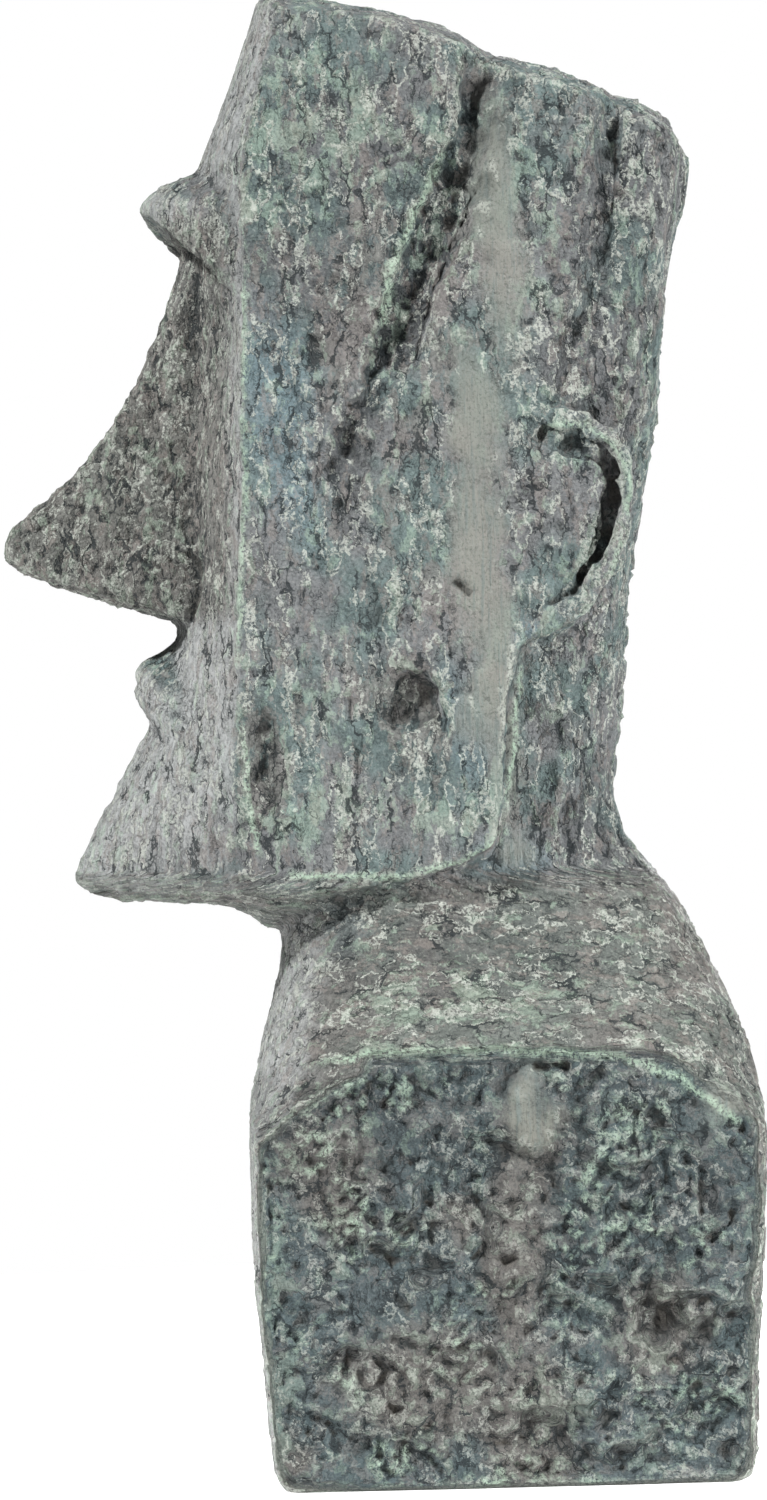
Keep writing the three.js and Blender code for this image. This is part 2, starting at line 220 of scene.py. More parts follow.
def flakes(points, seed):
    """Torn plates one unit wide: how high each stands, and how it tilts, at each point."""
    cell = np.floor(points).astype(np.int64)
    inside = points - cell
    nearest = np.full(len(points), np.inf)
    height = np.zeros(len(points))
    for step in itertools.product((-1, 0, 1), repeat=3):
        at = cell + step
        centre = np.stack([scrambled(at, seed * 5 + k) for k in range(3)], axis=-1) + step
        away = inside - centre
        distance = np.sqrt((away * away).sum(axis=1))
        tilt = np.stack([scrambled(at, seed * 5 + 7 + k) for k in range(3)], axis=-1) * 2 - 1
        stand = (away * tilt).sum(axis=1) * 0.9 + scrambled(at, seed * 5 + 11) - 0.5
        height = np.where(distance < nearest, stand, height)
        nearest = np.minimum(distance, nearest)
    return height


# ---------------------------------------------------------------- surface arrays


class Skin:
    """The statue's fine mesh as arrays, in millimetres, with the attributes that its paint reads."""

    def __init__(self, mesh):
        self.mesh = mesh
        count = len(mesh.vertices)
        flat = np.empty(count * 3, np.float32)
        mesh.vertices.foreach_get("co", flat)
        self.points = flat.reshape(-1, 3).astype(np.float64) / MM
        ends = np.empty(len(mesh.edges) * 2, np.int32)
        mesh.edges.foreach_get("vertices", ends)
        self.ends = ends.reshape(-1, 2)
        self.neighbours = np.bincount(ends, minlength=count)

    def around(self, values):
        """The mean of each point's neighbours."""
        columns = []
        for column in np.atleast_2d(values.T):
            one = np.bincount(self.ends[:, 0], column[self.ends[:, 1]], minlength=len(column))
            other = np.bincount(self.ends[:, 1], column[self.ends[:, 0]], minlength=len(column))
            columns.append((one + other) / self.neighbours)
        return np.stack(columns, axis=-1).reshape(values.shape)

    def smoothed(self, values, rounds):
        """The values after that many rounds, each one a step towards the mean of the neighbours."""
        for _ in range(rounds):
            values = 0.4 * values + 0.6 * self.around(values)
        return values

    def write(self):
        self.mesh.vertices.foreach_set("co", (self.points * MM).astype(np.float32).ravel())
        self.mesh.update()

    def normals(self):
        self.write()
        flat = np.empty(len(self.points) * 3, np.float32)
        self.mesh.vertex_normals.foreach_get("vector", flat)
        return flat.reshape(-1, 3).astype(np.float64)

    def store(self, name, values):
        attribute = self.mesh.attributes.new(name, "FLOAT", "POINT")
        attribute.data.foreach_set("value", np.clip(values, 0, 1).astype(np.float32))


VOXEL = 2.0  # the spacing of the fine mesh, in millimetres
ROUNDS_OFF = 4
MOST_TRIANGLES = 196000


def fine_copy(node):
    """The node's solid as a fine, even mesh in an object of its own."""
    piece = bpy.data.objects.new("statue_surface", node.data.copy())
    bpy.context.collection.objects.link(piece)
    even = piece.modifiers.new("even", "REMESH")
    even.mode = "VOXEL"
    even.voxel_size = VOXEL * MM
    bake_modifiers(piece)
    return piece


def bake_modifiers(piece):
    """The piece's mesh as its modifiers shape it, without them."""
    shaped = piece.evaluated_get(bpy.context.evaluated_depsgraph_get())
    mesh = bpy.data.meshes.new_from_object(shaped)
    piece.modifiers.clear()
    piece.data = mesh


def round_off(skin, rounds):
    """Takes the facets and saw-teeth off, and keeps the volume about the same."""
    for _ in range(rounds):
        skin.points += 0.5 * (skin.around(skin.points) - skin.points)
        skin.points -= 0.52 * (skin.around(skin.points) - skin.points)


# ---------------------------------------------------------------- relief

JAW_Z = 235  # where the head stands over the neck
ARCH_Z = 172  # the top of the arch on each side of the torso
# Rounds of smoothing: for the plain form that hollows and swells are measured from, and for its directions.
FORM_ROUNDS = 14
NORMAL_ROUNDS = 6


def between(value, low, high):
    """0 below low, 1 above high, and a soft step in between."""
    t = np.clip((value - low) / (high - low), 0, 1)
    return t * t * (3 - 2 * t)


def patch(flat, centre, half, lean=0.0, soft=0.5):
    """1 inside a leaning oval of the side view, in (y, z), and 0 outside it."""
    turn = math.radians(lean)
    away = flat - np.array(centre)
    along = away[:, 0] * math.cos(turn) + away[:, 1] * math.sin(turn)
    up = away[:, 1] * math.cos(turn) - away[:, 0] * math.sin(turn)
    return 1 - between(np.hypot(along / half[0], up / half[1]), 1 - soft, 1 + soft)


def patches(flat, ovals):
    """The strongest of several patches at each point."""
    return np.max([patch(flat, *oval) for oval in ovals], axis=0)


def off_path(flat, path):
    """The distance from a line of straight stretches, drawn on the side view."""
    nearest = np.full(len(flat), np.inf)
    for start, end in itertools.pairwise(np.array(path, float)):
        run = end - start
        t = np.clip((flat - start) @ run / (run @ run), 0, 1)
        away = flat - start - t[:, None] * run
        nearest = np.minimum(nearest, np.hypot(away[:, 0], away[:, 1]))
    return nearest


# Patches of one finish or of painted shade, as ovals in the side view: centre (y, z), half-lengths, and lean
# in degrees.
SMEARED = [
    ((46, 506), (9, 54), 4), ((37, 366), (11, 36), 0), ((45, 312), (7, 52), 0), ((36, 420), (9, 30), 6),
    ((52, 150), (9, 16), 0), ((134, 152), (14, 9), 30), ((50, 250), (9, 7), 0), ((36, 300), (10, 12), 0),
]
BLUE = [
    ((-39, 420), (15, 44), 8), ((50, 248), (16, 9), 0), ((134, 152), (16, 10), 30),
    ((-24, 220), (14, 10), 0), ((56, 338), (9, 6), 0), ((30, 300), (8, 22), 10), ((-40, 230), (10, 8), 0),
]
WARM = [
    ((46, 506), (10, 50), 4), ((37, 366), (12, 36), 0), ((45, 312), (8, 50), 0), ((-50, 284), (9, 22), 0),
    ((8, 309), (14, 15), 0), ((-30, 120), (12, 24), 20), ((-42, 16), (8, 8), 0), ((102, 62), (17, 20), 0),
    ((50, 26), (18, 34), 0), ((26, 108), (8, 12), 0), ((20, 355), (16, 14), 0), ((-10, 470), (12, 40), -10),
    ((56, 130), (8, 16), 0), ((-6, 36), (14, 16), 0), ((32, 500), (7, 46), -14), ((18, 440), (8, 30), -20),
    ((-28, 130), (20, 18), 0), ((44, 90), (10, 60), 0), ((10, 40), (34, 24), 0), ((-70, 100), (14, 40), 0),
]
GREEN = [
    ((12, 480), (4, 46), -22), ((63, 476), (9, 18), 0), ((97, 16), (9, 12), 0), ((-78, 286), (8, 14), 0),
    ((-48, 60), (7, 60), 0), ((-30, 268), (30, 14), 6), ((30, 268), (26, 10), 8), ((62, 505), (12, 20), 0),
    ((-25, 540), (40, 30), 0), ((75, 68), (24, 8), -30), ((30, 190), (44, 10), 0), ((60, 34), (14, 14), 0),
]
# Patches painted darker: partly painted shade, such as the eye hollow under the brow, partly darker paint.
SHADED_AND_DIM = [
    ((18, 492), (10, 62), -20), ((-16, 505), (48, 62), 0), ((98, 480), (12, 56), 0),
    ((20, 210), (60, 20), 0), ((76, 446), (14, 20), 0), ((84, 500), (6, 40), 0),
    ((22, 522), (9, 34), -16), ((-72, 480), (12, 16), 0), ((-30, 142), (70, 18), 0),
    ((104, 118), (24, 26), 0), ((-84, 60), (20, 50), 0), ((84, 262), (16, 22), 0),
    ((-74, 366), (7, 16), 0), ((14, 300), (18, 26), 0), ((-52, 284), (9, 26), 0), ((64, 112), (10, 40), 0),
]
RAGGED = [
    ((4, 470), (36, 110), -20), ((66, 470), (12, 70), -10),
    ((66, 384), (24, 46), 0), ((14, 312), (30, 22), 0),
]
# Edges of the left side that catch the pale paint: a path in (y, z) and its half-width.
RIMS = [
    ([(-97, 514), (-88, 502), (-74, 492), (-55, 474)], 2.6),
    ([(-55, 474), (-56, 430), (-56, 391), (-58, 359), (-61, 322)], 1.8),
    ([(1, 461), (4, 480), (12, 500), (22, 520), (26, 528)], 2.6),
    ([(-58, 300), (-56, 270), (-52, 250)], 1.8),
    ([(64, 418), (80, 418), (92, 410), (97, 396), (96, 376), (88, 358)], 2.0),
    ([(-106, 128), (-84, 148), (-50, 164), (-10, 172), (40, 173), (84, 170), (112, 160), (134, 142)], 2.4),
    ([(-40, 242), (0, 240), (30, 246), (47, 258)], 2.2),
    ([(44, 252), (50, 290), (54, 330)], 1.6),
]


class Regions:
    """Where each kind of finish lies, and where shade or light is painted, from 0 to 1 at each point."""

    def __init__(self, skin):
        p = skin.points
        self.normal = skin.smoothed(skin.normals(), NORMAL_ROUNDS)
        length = np.sqrt((self.normal**2).sum(axis=1))
        self.normal /= length[:, None]
        flat = p[:, 1:] + 9 * drift(p / 22, seed=40, axes=2)
        side = between(np.abs(self.normal[:, 0]), 0.45, 0.8)
        self.ground = between(p[:, 2], 0.5, 5)
        self.head = between(p[:, 2], JAW_Z - 8, JAW_Z + 22)
        under_arch = 1 - between(p[:, 2], ARCH_Z - 6, ARCH_Z + 6)
        self.flank = between(np.abs(self.normal[:, 0]), 0.8, 0.97) * under_arch
        self.nose = self.nose_region(p)
        self.smear = patches(flat, SMEARED) * side
        self.blue = patches(flat, BLUE) * side
        self.warm = patches(flat, WARM) * side
        self.green = patches(flat, GREEN) * side
        self.shaded_and_dim = patches(flat, SHADED_AND_DIM)
        thin = p[:, 1:] + 2.0 * drift(p / 7, seed=44, axes=2)
        rims = np.max([1 - between(off_path(thin, path), 0, half) for path, half in RIMS], axis=0)
        self.rim = side * (p[:, 0] > 0) * rims
        self.curl = self.curl_region(p)
        self.back = between(p[:, 1], 60, 95) * self.head
        self.front = between(-self.normal[:, 1], 0.5, 0.8)

    def curl_region(self, p):
        """Thin curling ridges, here and there on the flat sides of the torso."""
        sheet = np.stack([np.sign(p[:, 0]) * 50, p[:, 1], p[:, 2]], axis=-1)
        curl = 1 - np.abs(waves(sheet / 17 + 1.1 * drift(sheet / 10, seed=70), seed=5))
        here = between(rough(sheet / 30, seed=8, octaves=2), 0, 0.3)
        return self.flank * here * between(curl, 0.84, 1)

    def nose_region(self, p):
        """The nose and the eye hollow beside it, where the clay is stippled."""
        beside = between(-p[:, 1], 56, 66) * (1 - between(p[:, 2], 500, 512)) * between(p[:, 2], 340, 350)
        return beside * (1 - between(p[:, 2] + (p[:, 1] + 60) * 1.2, 520, 540))


# The solid's cuts in the left side of the head, as paths in (y, z).
EAR_CUT = [(61, 412), (76, 412), (86, 406), (91, 398), (90, 387), (88, 374), (82, 362), (76, 353)]
TEMPLE_CUT = [(42, 556), (37, 540), (24, 509), (8, 469), (-5, 434), (-15, 402)]
NAPE_CUT = [(87, 544), (84, 508), (77, 468), (71, 437)]
FLANK_LEAST_X = 72  # beside its cuts, the left flank of the head reaches further out than this
CUTS_LEAST_X = 48  # and the floors of the cuts reach further out than this
# Each cut: its path, how far off it ends at most, how far off its surroundings count, and the share filled.
CUT_FILLS = [(EAR_CUT, 7, 12, 0.85), (TEMPLE_CUT, 11, 18, 0.92), (NAPE_CUT, 9, 15, 0.6)]
SURROUNDINGS = 24  # the points that a filled point takes its level from
# The recess over the temple's cut: its lowest and highest points, its depth low down, and what the top adds.
RECESS_ENDS = (380, 574)
RECESS_SHALLOW = 4.0
RECESS_DEEPER = 4.5

# Single marks of the left side. A cut or ridge: its path in (y, z), its half-width, and how far it stands.
LEFT_MARKS = [
    ([(-60, 322), (-49, 322)], 1.8, -1.6), ([(-94, 312), (-88, 309), (-82, 304)], 1.8, -1.6),
    ([(-92, 289), (-84, 272)], 1.6, -1.2), ([(-102, 277), (-92, 270)], 1.5, -1.0),
    ([(-16, 311), (-12, 294), (-14, 275)], 2.2, -1.8), ([(-5, 519), (7, 525)], 1.8, -1.4),
    ([(84, 476), (80, 462), (77, 452)], 2.0, -1.6), ([(73, 270), (70, 264), (71, 256)], 2.6, -2.4),
    ([(94, 148), (93, 135)], 2.0, -2.6), ([(132, 110), (131, 102), (126, 99)], 2.6, -3.0),
    ([(30, 115), (34, 108)], 3.0, -2.8), ([(-21, 55), (-22, 46)], 3.2, -4.0),
    ([(-8, 44), (-7, 37), (-1, 31)], 2.6, -3.4), ([(55, 166), (61, 166.5), (67, 165.8)], 3.2, -6.0),
    ([(-54, 473), (-55, 431), (-55, 391), (-58, 359), (-59, 322)], 1.8, 1.0),
    ([(-79, 374), (-76, 369), (-75, 357), (-78, 346)], 2.4, -3.2),
    ([(88, 384), (83, 369), (79, 361), (73, 353), (64, 348)], 2.6, -3.6),
    ([(28, 356), (33, 353)], 3.2, -3.2), ([(120, 124), (119, 108)], 2.2, -2.4),
    ([(104, 130), (106, 118)], 2.0, -2.2),
    ([(60, 60), (68, 52), (74, 44)], 2.2, -1.8), ([(-14, 96), (-4, 90), (8, 92)], 2.0, -1.6),
    ([(31, 101), (45, 98), (54, 87), (65, 78), (82, 69)], 4.5, 2.4),
    ([(107, 33), (120, 36), (135, 41)], 3.0, 2.4),
    ([(104, 46), (113, 48), (122, 50)], 2.6, 1.8),
    ([(-27, 137), (-23, 144), (-17, 141), (-18, 134)], 2.4, 2.2),
    ([(10, 128), (4, 121), (6, 112), (14, 108)], 3.4, 2.2), ([(70, 118), (78, 112), (76, 102)], 3.4, 2.2),
    ([(-36, 100), (-26, 96), (-22, 86)], 3.2, 2.0), ([(38, 58), (44, 50), (40, 40)], 3.2, 1.6),
    ([(-4, 52), (4, 46), (4, 36), (-2, 27)], 3.2, 2.4), ([(88, 34), (92, 46), (94, 52)], 3.6, 1.6),
    ([(20, 132), (32, 126), (36, 118)], 3.0, 1.8), ([(2, 344), (6, 350), (12, 349), (12, 342)], 2.6, 1.8),
    ([(16, 352), (20, 355), (24, 350), (20, 345)], 2.4, 1.6), ([(22, 330), (24, 312), (23, 296)], 2.6, 1.8),
]
# Single marks of the right side, which is plainer.
RIGHT_MARKS = [
    ([(-30, 520), (-24, 500)], 2.0, -1.6), ([(34, 420), (32, 404)], 1.8, -1.4),
    ([(-18, 350), (-12, 336)], 2.0, -1.6),
    ([(20, 120), (32, 112), (34, 100)], 3.4, 2.2), ([(80, 80), (90, 70), (104, 70)], 3.6, 2.2),
    ([(-20, 70), (-12, 60), (-14, 48)], 3.0, -2.6), ([(60, 40), (66, 34)], 3.0, -3.0),
    ([(100, 120), (108, 110), (106, 98)], 3.0, 2.0), ([(0, 140), (10, 136)], 2.4, -2.4),
]
# A ring of clay round a hollow, on a stem: the heights of its ring, hollow and stem follow.
WHORL = {"centre": (102, 66), "radius": 12, "stem": [(102, 50), (100, 34)]}
WHORL_RING = 2.4
WHORL_HOLLOW = 2.2
WHORL_STEM = 1.4


def marks(skin, regions):
    """The single cuts, ridges and pits of both sides."""
    p = skin.points
    flat = p[:, 1:] + 1.6 * drift(p / 9, seed=60, axes=2)
    height = np.zeros(len(p))
    facing = between(np.abs(regions.normal[:, 0]), 0.2, 0.5)
    for sign, drawn in ((1, LEFT_MARKS), (-1, RIGHT_MARKS)):
        here = facing * (p[:, 0] * sign > 0)
        for path, half, stand in drawn:
            height += here * stand * (1 - between(off_path(flat, path), 0, half))
    left = facing * (p[:, 0] > 0)
    out = np.hypot(*(flat - np.array(WHORL["centre"])).T) / WHORL["radius"]
    height += left * WHORL_RING * (1 - between(np.abs(out - 1), 0, 0.4))
    height -= left * WHORL_HOLLOW * (1 - between(out, 0.2, 0.8))
    height += left * WHORL_STEM * (1 - between(off_path(flat, WHORL["stem"]), 2, 7))
    return height


def level_beside(points, path, near, far):
    """The sideways reach of the left flank with a cut left out, carried over it from the clay close by."""
    off = off_path(points[:, 1:], path)
    tree = kdtree.KDTree(len(points))
    for index in np.flatnonzero((points[:, 0] > FLANK_LEAST_X) & (off > near) & (off < far)):
        tree.insert((0, points[index, 1], points[index, 2]), index)
    tree.balance()
    level = points[:, 0].copy()
    for index in np.flatnonzero((points[:, 0] > CUTS_LEAST_X) & (off <= near)):
        found = tree.find_n((0, points[index, 1], points[index, 2]), SURROUNDINGS)
        weights = [1 / (1 + distance) for _, _, distance in found]
        level[index] = sum(w * points[i, 0] for w, (_, i, _) in zip(weights, found)) / sum(weights)
    return level


def part_fill(skin):
    """Clay pressed back into the cuts at the ear, the temple and the nape, so that they are less deep."""
    p = skin.points
    for path, near, far, share in CUT_FILLS:
        p[:, 0] += share * np.maximum(level_beside(p, path, near, far) - p[:, 0], 0)


def recess_edge(p):
    """How the torn edge of the temple's recess wanders."""
    return rough(p / 12, seed=95, octaves=3, keep=0.6)


def temple_recess(p):
    """The torn recess down the left temple, 1 at its floor: steep in front, sloping at the back."""
    ys, zs = zip(*reversed(TEMPLE_CUT))
    back = p[:, 1] - np.interp(p[:, 2], zs, ys) + 8 * recess_edge(p)
    width = 9 + 13 * between(p[:, 2], 400, 520)
    bottom, top = RECESS_ENDS
    reach = between(p[:, 2], bottom, bottom + 30) * (1 - between(p[:, 2], top - 22, top))
    return reach * (p[:, 0] > CUTS_LEAST_X) * between(back, -8, -5) * (1 - between(back, 2, width))


# How high the layers of the relief stand, in millimetres.
SLAB_HEIGHT = 0.8
LUMP_HEIGHT = 2.4
PLATE_HEIGHT = 1.0
HEAP_HEIGHT = 6.5
HEAP_SINK = 1.2
CURL_HEIGHT = 2.6
FLUTE_HEIGHT = 0.4
STIPPLE_HEIGHT = 1.3
RIM_HEIGHT = 0.9
TEAR_REACH = 4.0
FLUTES_PER_MM = np.array([0.28, 0.28, 0.02])  # narrow across the statue, long up it


def relief(skin):
    """Works the clay: everything here is in millimetres, out from the smooth form."""
    part_fill(skin)
    p = skin.points
    regions = Regions(skin)
    warp = drift(p / 10, seed=70)
    hollow = between(-((p - skin.smoothed(p, FORM_ROUNDS)) * regions.normal).sum(axis=1), 0.5, 2.0)
    strength = 0.9 + 0.3 * regions.flank - 0.3 * regions.front + 0.5 * regions.back + 0.9 * hollow
    calm = between(rough(p / 55, seed=9, octaves=2), -0.5, 0.3)
    worked = strength * (1 - 0.85 * regions.smear) * (0.55 + 0.45 * calm)

    # The head's lumps are longer up it than across it.
    upright = p - np.array([0, 0, JAW_Z])
    upright[:, 2] *= 1 - 0.55 * regions.head
    slabs = rough(p / 65, seed=1, octaves=2)
    lumps = ledges(rough(upright / 26 + 0.7 * warp, seed=2, keep=0.45), levels=5)
    plates = flakes(upright / 11 + 0.5 * warp, seed=3)
    heaps = ledges(rough(p * np.array([1, 0.5, 1]) / 25 + 0.42 * warp, seed=12), levels=6)
    flutes = waves((p + 2 * warp) * FLUTES_PER_MM, seed=6)
    stipple = rough(p / 4.5, seed=7, octaves=2)

    height = SLAB_HEIGHT * slabs
    height += worked * (LUMP_HEIGHT * lumps + PLATE_HEIGHT * plates)
    piled = regions.flank * (HEAP_HEIGHT * heaps - HEAP_SINK) + CURL_HEIGHT * regions.curl
    height += piled * (1 - 0.6 * regions.smear)
    height += FLUTE_HEIGHT * regions.smear * flutes
    height += STIPPLE_HEIGHT * regions.nose * stipple + RIM_HEIGHT * regions.rim
    height += marks(skin, regions)
    ragged = patches(p[:, 1:], RAGGED) * regions.ground * (p[:, 0] > 0)
    tear = drift(p / 15, seed=90, octaves=3, keep=0.6)
    recess_depth = RECESS_SHALLOW + RECESS_DEEPER * between(p[:, 2], 400, 500)
    recess_depth *= 0.85 + 0.5 * recess_edge(p)
    skin.points = p + regions.normal * (height * regions.ground)[:, None]
    skin.points += TEAR_REACH * tear * ragged[:, None]
    skin.points[:, 0] -= recess_depth * temple_recess(p)


def keep_inside(skin):
    """Nothing stands outside the solid's box, and the underside stays flat on the ground."""
    skin.points = np.clip(skin.points, LOW / MM, HIGH / MM)


# How far a point stands out, or lies back, to count fully as a crest, as a swell, and as deep.
CREST_FULL = 0.3
SWELL_FULL = 1.8
DEEP_FROM = 0.9
DEEP_FULL = 3.0


def paint_attributes(skin):
    """Leaves on each point what its paint depends on."""
    p = skin.points
    normal = skin.normals()
    regions = Regions(skin)
    fine = skin.smoothed(((p - skin.around(p)) * normal).sum(axis=1), 1)
    wide = ((p - skin.smoothed(p, FORM_ROUNDS)) * normal).sum(axis=1)
    skin.store("crest", 0.5 + 0.5 * np.clip(fine / CREST_FULL, -1, 1))
    skin.store("swell", 0.5 + 0.5 * np.clip(wide / SWELL_FULL, -1, 1))
    skin.store("deep", between(-wide, DEEP_FROM, DEEP_FULL))
    skin.store("smear", regions.smear)
    skin.store("blue", regions.blue)
    skin.store("warm", regions.warm)
    skin.store("green", regions.green)
    skin.store("stipple", regions.nose)
    skin.store("shaded_and_dim", regions.shaded_and_dim)
    skin.store("recess", temple_recess(p))
    skin.store("rim", np.maximum(regions.rim, 0.7 * regions.curl))
    skin.store("flank", regions.flank)
    skin.store("front", regions.front)
    skin.store("head", regions.head)


def make_statue():
    """The statue's one visible piece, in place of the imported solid."""
    piece = fine_copy(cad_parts["moai_statue"])
    skin = Skin(piece.data)
    round_off(skin, ROUNDS_OFF)
    relief(skin)
    keep_inside(skin)
    skin.write()
    triangles = sum(len(face.vertices) - 2 for face in piece.data.polygons)
    if triangles > MOST_TRIANGLES:
        fewer = piece.modifiers.new("fewer", "DECIMATE")
        fewer.ratio = MOST_TRIANGLES / triangles
        bake_modifiers(piece)
    skin = Skin(piece.data)
    keep_inside(skin)
    paint_attributes(skin)
    piece.data.polygons.foreach_set("use_smooth", np.ones(len(piece.data.polygons), bool))
    piece.data.materials.clear()
    piece.data.materials.append(stone_paint())
    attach(piece, "root")
    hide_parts("moai_statue")


# ---------------------------------------------------------------- paint

# Paints as they look, from 0 to 255.
CREVICE = (26, 34, 37)
SLATE = (56, 68, 71)
MAUVE = (101, 103, 104)
PALE_MAUVE = (150, 152, 151)
TEAL = (89, 103, 102)
BLUE_GREY = (98, 116, 122)
BEIGE = (127, 127, 117)
TAUPE = (122, 114, 109)
STONE_BROWN = (100, 98, 93)
DARK_BROWN = (76, 73, 69)
UMBER = (98, 94, 86)
PALE_GREEN = (150, 172, 152)
CREAM = (160, 164, 156)


def linear(paint):
    """A paint as seen on a screen, as the light it gives back."""
    parts = [channel / 255 for channel in paint]
    return tuple(c / 12.92 if c <= 0.04045 else ((c + 0.055) / 1.055) ** 2.4 for c in parts) + (1.0,)


class Nodes:
    """Short names for the shader nodes that the paint is made of."""

    def __init__(self, tree):
        self.tree = tree

    def add(self, kind, inputs=None, **settings):
        node = self.tree.nodes.new(kind)
        for name, value in settings.items():
            setattr(node, name, value)
        for name, value in (inputs or {}).items():
            if isinstance(value, bpy.types.NodeSocket):
                self.tree.links.new(value, node.inputs[name])
            else:
                node.inputs[name].default_value = value
        return node

    def attribute(self, name):
        return self.add("ShaderNodeAttribute", attribute_name=name).outputs["Fac"]

    def math(self, operation, *values):
        return self.add("ShaderNodeMath", dict(enumerate(values)), operation=operation).outputs[0]

    def sum(self, *values):
        """Adds values, each one alone or as (value, times)."""
        total = 0.0
        for value in values:
            factor = 1.0
            if isinstance(value, tuple):
                value, factor = value
            total = self.add(
                "ShaderNodeMath", {0: value, 1: factor, 2: total}, operation="MULTIPLY_ADD"
            ).outputs[0]
        return total

    def step(self, value, low, high, to_low=0.0, to_high=1.0):
        """A soft step from to_low to to_high as value goes from low to high."""
        inputs = {"Value": value, "From Min": low, "From Max": high, "To Min": to_low, "To Max": to_high}
        return self.add("ShaderNodeMapRange", inputs, interpolation_type="SMOOTHSTEP").outputs["Result"]

    def mix(self, share, first, second):
        """Two colours, by share of the second. A paint is given as a tuple."""
        first, second = (linear(c) if isinstance(c, tuple) else c for c in (first, second))
        node = self.add("ShaderNodeMix", {"Factor": share}, data_type="RGBA")
        for socket, colour in ((node.inputs[6], first), (node.inputs[7], second)):
            if isinstance(colour, tuple):
                socket.default_value = colour
            else:
                self.tree.links.new(colour, socket)
        return node.outputs[2]

    def times(self, first, *others):
        """The product of several values."""
        for other in others:
            first = self.math("MULTIPLY", first, other)
        return first

    def vector(self, operation, *values):
        node = self.add("ShaderNodeVectorMath", dict(enumerate(values)), operation=operation)
        return node.outputs["Value"] if operation == "DOT_PRODUCT" else node.outputs["Vector"]

    def noise(self, place, size, detail=2.0, roughness=0.5, output="Fac"):
        inputs = {"Vector": place, "Scale": 1 / size, "Detail": detail, "Roughness": roughness}
        return self.add("ShaderNodeTexNoise", inputs).outputs[output]

    def ledges(self, value, levels):
        """A value from 0 to 1 as a stair with steep risers."""
        climb = self.math("MULTIPLY", value, float(levels))
        riser = self.step(self.math("FRACT", climb), 0.75, 1.0)
        return self.math("DIVIDE", self.math("ADD", self.math("FLOOR", climb), riser), float(levels))

    def flakes(self, place, size):
        """Torn plates: how high they stand and how far their edge is, in mm, and a number for each."""
        inputs = {"Vector": place, "Scale": 1 / size}
        cell = self.add("ShaderNodeTexVoronoi", inputs)
        away = self.vector("SUBTRACT", place, cell.outputs["Position"])
        tilt = self.vector("SUBTRACT", cell.outputs["Color"], (0.5, 0.5, 0.5))
        lean = self.vector("DOT_PRODUCT", away, tilt)
        number = self.add("ShaderNodeSeparateColor", {0: cell.outputs["Color"]}).outputs[2]
        edge = self.add("ShaderNodeTexVoronoi", inputs, feature="DISTANCE_TO_EDGE").outputs["Distance"]
        height = self.sum((lean, 1.2), (number, 0.2 * size))
        return height, self.math("MULTIPLY", edge, float(size)), number


# Sizes of the finest marks in the clay, in millimetres, and how far its grain is bent.
SLAB_SIZE = 11
PLATE_SIZE = 5.6
CHIP_SIZE = 2.8
GRAIN_SIZE = 1.3
SWIRL_REACH = 10.0
BEND_REACH = 7.0
BUMP_DISTANCE = 1.0 * MM
# The surface's attributes that the paint reads.
ATTRIBUTES = (
    "crest", "swell", "deep", "smear", "blue", "warm", "green", "stipple",
    "flank", "front", "head", "rim", "shaded_and_dim", "recess",
)


